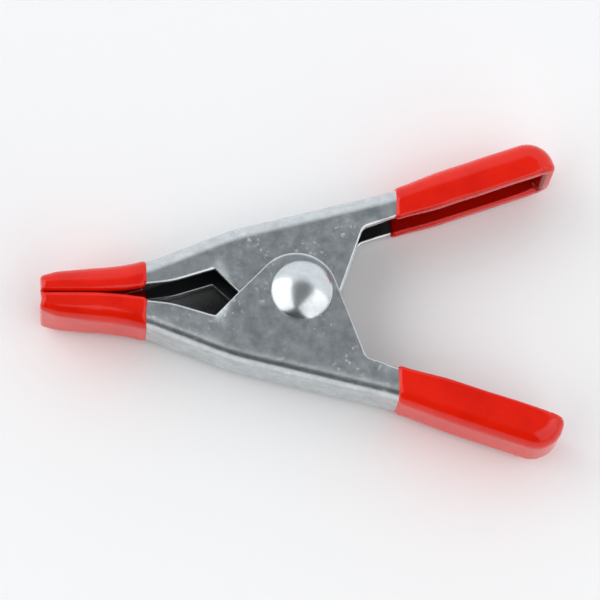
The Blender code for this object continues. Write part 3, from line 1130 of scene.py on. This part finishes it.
@dataclass
class DippedSleeve(Piece):
    """The vinyl on one end of a lever: a skin over the steel, inside and out."""

    name: str
    node: str
    body: str
    channel: Channel
    mouth_x: float
    seed: int
    at_jaw: bool
    slot: str = "red_vinyl"
    skin: float = 0.9 * MM
    bond: float = 0.02 * MM
    lip: float = 0.85 * MM
    inner_fillet: float = 0.7 * MM
    bonded_lip: float = 0.17 * MM
    bonded_fillet: float = 0.2 * MM
    level_run: float = 9.0 * MM
    waviness: float = 0.05 * MM
    wave_turn: float = 1.5
    wave_runs: tuple[float, float] = (5.0 * MM, 9.0 * MM)
    bead: float = 0.03 * MM
    bead_back: float = 1.3 * MM
    bead_reach: float = 0.7 * MM
    mouth_share: float = 0.5
    thin_run: float = 12.0 * MM
    mouth_wander: float = 0.22 * MM
    mouth_turn: float = 2.0
    mouth_clear: float = 1.05
    newton_nudge: float = 0.05 * MM
    newton_steps: int = 6
    round_steps: int = 9
    back_stride: int = 3

    def mouth_shift(self, mouth: float) -> np.ndarray:
        """Return how far each column's mouth lies from the given row.

        The dip's surface was level across the clamp, so every column ends at the same x,
        but for a small wander round the section. Each column's row is found by Newton's
        method: row -= (x - wanted) / (dx / drow).

        Args:
            mouth: The row where the web's outer face passes mouth_x.

        Returns:
            The distance for each column, positive towards the nose.
        """
        count = len(self.channel.segments)
        turn = full_turn(count)
        wander = ripple(self.mouth_turn * np.cos(turn), self.mouth_turn * np.sin(turn), self.seed)
        wanted = self.mouth_x + wander * self.mouth_wander
        rows = np.full(count, mouth)
        for _ in range(self.newton_steps):
            pair = self.channel.surface(
                np.stack((rows, rows + self.newton_nudge)), 0.0, self.lip, self.inner_fillet)
            slope = (pair[1, :, 0] - pair[0, :, 0]) / self.newton_nudge
            rows = rows - (pair[0, :, 0] - wanted) / slope
        return rows - mouth

    def rings(self) -> np.ndarray:
        """Work out the skin's rings: over the outside, round the mouth, and back inside.

        The growth beyond the steel is the skin's thickness, with a ripple and a bead near
        the mouth. It thins towards the mouth, where the wet vinyl ran down. Over the far
        end and into the mouth it falls as a quarter of an ellipse, but over the far end
        the free edge keeps its full skin. The way back inside lies a bond's thickness off
        the steel.

        Returns:
            The points, by ring and then by column.
        """
        mouth = self.channel.row_at(self.mouth_x)
        trim = self.channel.plan.handle_trim
        far, nose = (self.channel.end, self.skin) if self.at_jaw else (trim, self.skin + trim)
        toward = 1.0 if self.at_jaw else -1.0
        quarter = np.linspace(0.0, math.pi / 2.0, self.round_steps + 1)
        span = self.channel.rows(min(far, mouth), max(far, mouth))
        span = span if not self.at_jaw else span[::-1]
        span = span[np.abs(span - mouth) > self.skin * self.mouth_clear]
        cap_rows = far + toward * nose * np.cos(quarter[:-1])
        cap_growth = self.skin * np.sin(quarter[:-1])
        edge_rows = mouth + toward * self.skin * (1.0 - np.sin(quarter))
        edge_growth = self.bond + (self.skin - self.bond) * np.cos(quarter)
        rows = np.concatenate((cap_rows, span, edge_rows))
        growth = np.concatenate((cap_growth, np.full(len(span), self.skin), edge_growth))
        away = np.abs(rows - mouth)
        thick = self.mouth_share + (1.0 - self.mouth_share) * eased(away, 0.0, self.thin_run)
        growth = self.bond + (growth - self.bond) * thick
        shift = self.mouth_shift(mouth)
        wide = rows[:, None] + eased(away, self.level_run, 0.0)[:, None] * shift
        turn = full_turn(len(shift))
        ripples = ripple(
            self.wave_turn * np.cos(turn)[None] + rows[:, None] / self.wave_runs[0],
            self.wave_turn * np.sin(turn)[None] + rows[:, None] / self.wave_runs[1],
            self.seed + 1,
        )
        bead = self.bead * np.exp(-((away - self.bead_back) / self.bead_reach) ** 2)
        uneven = ripples * self.waviness + bead[:, None]
        grown = growth[:, None] + (growth / self.skin)[:, None] * uneven
        over_end = (np.arange(len(rows)) < len(cap_rows))[:, None]
        reach = np.where(over_end, self.skin + uneven, grown)
        outside = self.channel.surface(wide, grown, self.lip, self.inner_fillet, reach)
        back = wide[::-1][::self.back_stride]
        back = back[np.abs(back - mouth).max(axis=1) > self.skin]
        back = back[(back.min(axis=1) >= trim) & (back.max(axis=1) <= self.channel.end)]
        inside = self.channel.surface(back, self.bond, self.bonded_lip, self.bonded_fillet)
        return np.concatenate((outside, inside))

    def build(self) -> Object:
        """Loft the rings into one closed skin, marked where it lies in the channel.

        Returns:
            The sleeve.
        """
        rings = self.rings()
        sleeve = closed_loft(self.name, rings)
        # The channel mark gives the vinyl its painted shade.
        store(sleeve, "inside", rings, self.channel.hollow())
        return sleeve


@dataclass
class TubularRivet(Piece):
    """The rivet: a domed head, a shank, and an end rolled back round its bore."""

    node: str = "rivet"
    body: str = OUTER_BODY
    slot: str = "rivet_steel"
    head_radius: float = 5.9 * MM
    head_height: float = 2.6 * MM
    head_rim: float = 0.35 * MM
    crown_edge: float = math.radians(76.0)
    crown_power: float = 1.5
    rim_round: float = 0.22 * MM
    shank_radius: float = 3.1 * MM
    roll_radius: float = 4.9 * MM
    roll_height: float = 1.1 * MM
    roll_power: float = 0.8
    bore_radius: float = 2.1 * MM
    bore_depth: float = 3.4 * MM
    bore_round: float = 0.3 * MM
    bore_margin: float = 1.02
    head_gap: float = 0.15 * MM
    ear_top: float = 7.525 * MM
    splits: tuple[float, ...] = (0.4, 1.5, 2.75, 3.8, 5.2)
    split_angle: float = 0.055
    split_in: float = 0.35 * MM
    split_up: float = 0.55 * MM
    crown_steps: int = 36
    rim_steps: int = 6
    roll_steps: int = 22
    around: int = 128
    sharp_from: float = math.radians(50.0)

    def profile(self) -> np.ndarray:
        """Return the (radius, height) line from the crown to the floor of the bore.

        The crown is r = R sin a / sin e and z = H (cos(a)^p - cos(e)^p) / (1 - cos(e)^p)
        up to the edge angle e, over a small round rim. The roll is half an ellipse, its
        height to a power.

        Returns:
            The line's points, one row each.
        """
        seat = self.ear_top + self.head_gap
        dome = self.head_height - self.head_rim
        rise = np.linspace(0.0, self.crown_edge, self.crown_steps)[1:]
        drop = math.cos(self.crown_edge) ** self.crown_power
        crown = np.column_stack((
            self.head_radius * np.sin(rise) / math.sin(self.crown_edge),
            seat + self.head_rim + dome * (np.cos(rise) ** self.crown_power - drop) / (1.0 - drop),
        ))
        turn = np.linspace(math.pi / 2.0, math.pi, self.rim_steps)
        rim = np.column_stack((
            self.head_radius - self.rim_round * (1.0 - np.sin(turn)),
            seat + self.rim_round * (1.0 + np.cos(turn)),
        ))
        shank = np.array([(self.shank_radius, seat), (self.shank_radius, -seat)])
        curl = np.linspace(0.0, math.pi, self.roll_steps)
        roll = (self.roll_radius - self.bore_radius) / 2.0
        rolled = np.column_stack((
            self.bore_radius + roll + roll * np.cos(curl),
            -seat - self.roll_height * np.sin(curl) ** self.roll_power,
        ))
        floor = -seat - self.roll_height + self.bore_depth
        bore = np.array([
            (self.bore_radius, floor - self.bore_round),
            (self.bore_radius - self.bore_round, floor),
            (0.0, floor + self.bore_radius / 2.0),
        ])
        return np.vstack((((0.0, seat + self.head_height),), crown, rim, shank, rolled, bore))

    def build(self) -> Object:
        """Turn the profile about the axis, and split the rolled end's lip a little.

        The radial splits are dips exp(-(angle / split_angle)^2) in the roll, as cold
        rolling tears the tube's edge.

        Returns:
            The rivet.
        """
        profile = self.profile()
        angle = full_turn(self.around)
        line = profile[1:-1]
        gaps = np.angle(np.exp(1j * (angle[None, :, None] - np.array(self.splits))))
        tear = np.exp(-((gaps / self.split_angle) ** 2)).sum(-1)
        seat = self.ear_top + self.head_gap
        down = np.clip((-seat - line[:, 1]) / self.roll_height, 0.0, 1.0)
        out = (line[:, 0] - self.bore_radius) / (self.roll_radius - self.bore_radius)
        past_bore = line[:, 0] > self.bore_radius * self.bore_margin
        tear = tear * (down * np.clip(out, 0.0, 1.0) * past_bore)[:, None]
        radius = line[:, 0, None] - tear * self.split_in
        height = line[:, 1, None] + tear * self.split_up
        body = np.stack((
            radius * np.cos(angle), radius * np.sin(angle), PIVOT.z + height,
        ), axis=-1)
        poles = [(0.0, 0.0, PIVOT.z + height) for height in (profile[0, 1], profile[-1, 1])]
        crown = len(line) * self.around
        first = np.arange(self.around)
        following = np.roll(first, -1)
        last = (len(line) - 1) * self.around
        top = np.column_stack((np.full(self.around, crown), first, following))
        base = np.column_stack((np.full(self.around, crown + 1), following + last, first + last))
        faces = ring_faces(len(line), self.around) + top.tolist() + base.tolist()
        rivet = mesh_object("plated_rivet", np.concatenate((body.reshape(-1, 3), poles)), faces)
        rivet.data.set_sharp_from_angle(angle=self.sharp_from)
        return rivet


@dataclass
class TorsionSpring(Piece):
    """Round wire: a leg on each lever and a coil round the rivet."""

    node: str = "torsion_spring"
    slot: str = "spring_steel"
    wire: float = 0.95 * MM
    coil: float = 4.8 * MM
    turns: int = 3
    level: float = 3.575 * MM
    leg_end_x: float = -15.2 * MM
    leg_knee_x: float = -10.5 * MM
    leg_gap: float = 0.3 * MM
    leg_hold: float = 0.2
    knee_radius: float = 5.0 * MM
    end_round: float = 0.25 * MM
    fineness: float = 0.2 * MM
    leg_steps: int = 60
    around: int = 20
    per_turn: int = 72
    plan: LeverPlan = field(default_factory=LeverPlan)

    def centre_line(self) -> np.ndarray:
        """Return the wire's middle: one leg, the coil from the top down, the other leg.

        The coil is (r cos a, r sin a) with its height falling evenly with the angle, and
        the legs leave it along its tangent.

        Returns:
            The line's points, one row each.
        """
        slope = self.plan.body_slope
        drop = (self.plan.sheet + self.leg_gap + self.wire) / math.cos(slope)
        end = np.array((self.leg_end_x, self.plan.web_y(self.leg_end_x) - drop))
        knee = np.array((self.leg_knee_x, self.plan.web_y(self.leg_knee_x) - drop))
        leave = math.atan2(knee[1], knee[0]) - math.acos(self.coil / np.linalg.norm(knee))
        joint = self.coil * np.array((math.cos(leave), math.sin(leave)))
        corners = [(*end, 0.0), (*knee, self.knee_radius), (*joint, 0.0)]
        corners = rounded(corners, self.fineness)
        length = lengths(corners)
        along = np.linspace(0.0, length[-1], self.leg_steps)
        leg = sampled(length, corners, along)[:-1]
        sweep = 2.0 * leave + 2.0 * math.pi * self.turns
        share = np.linspace(0.0, 1.0, round(self.per_turn * sweep / (2.0 * math.pi)) + 1)
        angle = leave - sweep * share
        upper = np.column_stack((leg, np.full(len(leg), self.level)))
        coil = np.column_stack((
            self.coil * np.cos(angle), self.coil * np.sin(angle), self.level * (1.0 - 2.0 * share),
        ))
        lower = upper[::-1] * (1.0, -1.0, -1.0)
        return np.vstack((upper, coil, lower)) + (0.0, 0.0, PIVOT.z)

    def build(self) -> Object:
        """Sweep a circle along the centre line, its cut ends rounded.

        The circle's axes are the flat sideways normal, z cross tangent, and its cross
        with the tangent. Near an end the radius falls as a quarter circle.

        Returns:
            The spring.
        """
        line = self.centre_line()
        tangent = unit(np.gradient(line, axis=0))
        side = unit(np.cross((0.0, 0.0, 1.0), tangent))
        up = np.cross(tangent, side)
        run = lengths(line)
        off = np.minimum(run, run[-1] - run)
        shrink = 1.0 - np.clip(off / self.end_round, 0.0, 1.0)
        radius = self.wire - self.end_round * (1.0 - np.sqrt(1.0 - shrink ** 2))
        turn = full_turn(self.around)
        circle = np.cos(turn)[:, None] * side[:, None] + np.sin(turn)[:, None] * up[:, None]
        return closed_loft("coil_spring", line[:, None] + radius[:, None, None] * circle)

    def place(self, made: Object) -> None:
        """Bake the spring's transform into its mesh, in place of its CAD node, on no lever's body.

        Its upper leg bears on the outer lever and its lower leg on the inner one.

        Args:
            made: The spring's mesh object.
        """
        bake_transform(made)
        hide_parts(self.node)


# ---------------------------------------------------------------------- studio


def direction(azimuth: float, elevation: float) -> Vector:
    """Return a direction seen from the clamp.

    Args:
        azimuth: The turn about +Z in degrees, 0 at -Y and 90 at +X.
        elevation: The rise above the floor in degrees.

    Returns:
        The direction, at length one.
    """
    turn, rise = math.radians(azimuth), math.radians(elevation)
    return Vector((
        math.sin(turn) * math.cos(rise), -math.cos(turn) * math.cos(rise), math.sin(rise)))


@dataclass
class Lamp:
    """A softbox: where it stands, its size and its brightness, where 1 is paper white."""

    name: str
    azimuth: float
    elevation: float
    distance: float
    width: float
    height: float
    radiance: float

    def build(self) -> Object:
        """Hang the lamp facing the clamp.

        A face of area A and brightness L gives out pi A L watts.

        Returns:
            The lamp.
        """
        light = bpy.data.lights.new(self.name, "AREA")
        light.shape = "RECTANGLE"
        light.size = self.width
        light.size_y = self.height
        light.energy = math.pi * self.width * self.height * self.radiance
        made = add_object(self.name, light)
        away = direction(self.azimuth, self.elevation)
        made.location = away * self.distance
        made.rotation_euler = away.to_track_quat("Z", "Y").to_euler()
        return made


@dataclass
class Studio:
    """A white paper floor, two softboxes and a camera high above the outer lever."""

    floor_size: float = 24.0
    floor_points: int = 3
    camera_azimuth: float = 167.3
    camera_elevation: float = 74.0
    camera_distance: float = 0.734
    camera_limit: float = 50.0
    frame_width: float = 0.117
    near: str = "#34373b"
    ceiling: str = "#75787a"
    wall: str = "#e4e7ea"
    glow: float = 1.15
    ceiling_edge: tuple[float, float] = (0.62, 0.34)
    wall_top: tuple[float, float] = (0.9, 0.8)
    wall_side: tuple[float, float] = (0.3, -0.1)
    lamps: tuple[Lamp, ...] = (
        Lamp("jaw_side_softbox", 92.0, 36.0, 6.0, 9.6, 7.4, 1.2),
        Lamp("handle_side_softbox", 229.0, 38.0, 6.0, 8.2, 7.8, 1.15),
    )

    def floor(self, finish: Material) -> Object:
        """Lay the paper under the clamp.

        Args:
            finish: The paper's material.

        Returns:
            The floor.
        """
        half = self.floor_size / 2.0
        across = np.linspace(-half, half, self.floor_points)
        x, y = np.meshgrid(across, across, indexing="ij")
        points = np.stack((x, y, np.zeros_like(x)), axis=-1).reshape(-1, 3)
        corner = np.arange(x.size).reshape(x.shape)
        faces = np.stack((corner[:-1, :-1], corner[1:, :-1], corner[1:, 1:], corner[:-1, 1:]), -1)
        made = mesh_object("paper_floor", points, faces.reshape(-1, 4).tolist())
        made.data.materials.append(finish)
        return made

    def world(self) -> None:
        """Surround the set with a bright far wall, a grey ceiling and a dark near side.

        The shares follow the direction looked in. The ceiling takes over from the near
        side, +Y, and the wall from both, where it is low enough and far enough towards -Y.
        """
        world = bpy.data.worlds.new("studio_room")
        bpy.context.scene.world = world
        world.use_nodes = True
        tree = world.node_tree
        tree.nodes.clear()
        way = add_node(tree, "SeparateXYZ", links={
            0: add_node(tree, "TexCoord").outputs["Generated"]})
        over, low, far = (
            add_node(tree, "MapRange", ramp(span), {"Value": way.outputs[axis]})
            for axis, span in (
                ("Y", self.ceiling_edge), ("Z", self.wall_top), ("Y", self.wall_side))
        )
        walled = add_node(tree, "Math", {"operation": "MULTIPLY"}, {0: far, 1: low})
        colour = add_node(tree, "Mix", {
            "data_type": "RGBA", MIX_A: srgb(self.near), MIX_B: srgb(self.ceiling)},
            {"Factor": over})
        colour = add_node(tree, "Mix", {"data_type": "RGBA", MIX_B: srgb(self.wall)},
                          {"Factor": walled, MIX_A: colour})
        glow = add_node(tree, "Background", {"Strength": self.glow}, {"Color": colour})
        add_node(tree, "OutputWorld", links={"Surface": glow})

    def camera(self) -> None:
        """Stand a long lens over the clamp, on the side of the outer lever.

        The camera is rolled until the clamp's length lies level in the picture: its right
        is -X, made square to the line of sight.
        """
        data = bpy.data.cameras.new("camera")
        data.lens = data.sensor_width * self.camera_distance / self.frame_width
        data.clip_end = self.camera_limit
        made = add_object("camera", data)
        back = direction(self.camera_azimuth, self.camera_elevation)
        middle = (CAD_BOX[0] + CAD_BOX[1]) / 2.0
        made.location = middle + back * self.camera_distance
        right = Vector((-1.0, 0.0, 0.0))
        right = (right - back * right.dot(back)).normalized()
        made.rotation_euler = Matrix((right, back.cross(right), back)).transposed().to_euler()
        bpy.context.scene.camera = made

    def build(self) -> None:
        """Set up the floor, lamps, surroundings and camera."""
        self.floor(StudioPaper().material())
        for lamp in self.lamps:
            lamp.build()
        self.world()
        self.camera()
        bpy.context.scene.view_settings.view_transform = "Standard"


def main() -> None:
    """Build the levers, sleeves, rivet, spring and studio, in that order."""
    logging.basicConfig(level=logging.INFO, format="%(name)s: %(message)s")
    zinc = ZincPlate().material()
    vinyl = DippedVinyl().material()
    step = (LeverPlan.sheet + EAR_GAP) / 2.0
    halves = ((Side.OUTER, "outer", OUTER_BODY, step), (Side.INNER, "inner", INNER_BODY, -step))
    sleeves = (("jaw_tip", JAW_MOUTH, True), ("grip", GRIP_MOUTH, False))
    # A sleeve draws from its seed and the next, so the seeds are two apart.
    for number, (side, word, body, ear_step) in enumerate(halves):
        channel = Channel(side, ear_step)
        StampedLever(f"{word}_stamped_lever", f"{word}_lever", body, channel).make(zinc)
        for piece, mouth_x, at_jaw in sleeves:
            DippedSleeve(
                f"{word}_vinyl_{piece}", f"{word}_{piece}", body, channel, mouth_x,
                FIRST_SEED + 4 * number + 2 * at_jaw, at_jaw,
            ).make(vinyl)
    TubularRivet().make(RivetPlate().material())
    TorsionSpring().make(SpringWire().material())
    Studio().build()


if __name__ == "__main__":
    main()
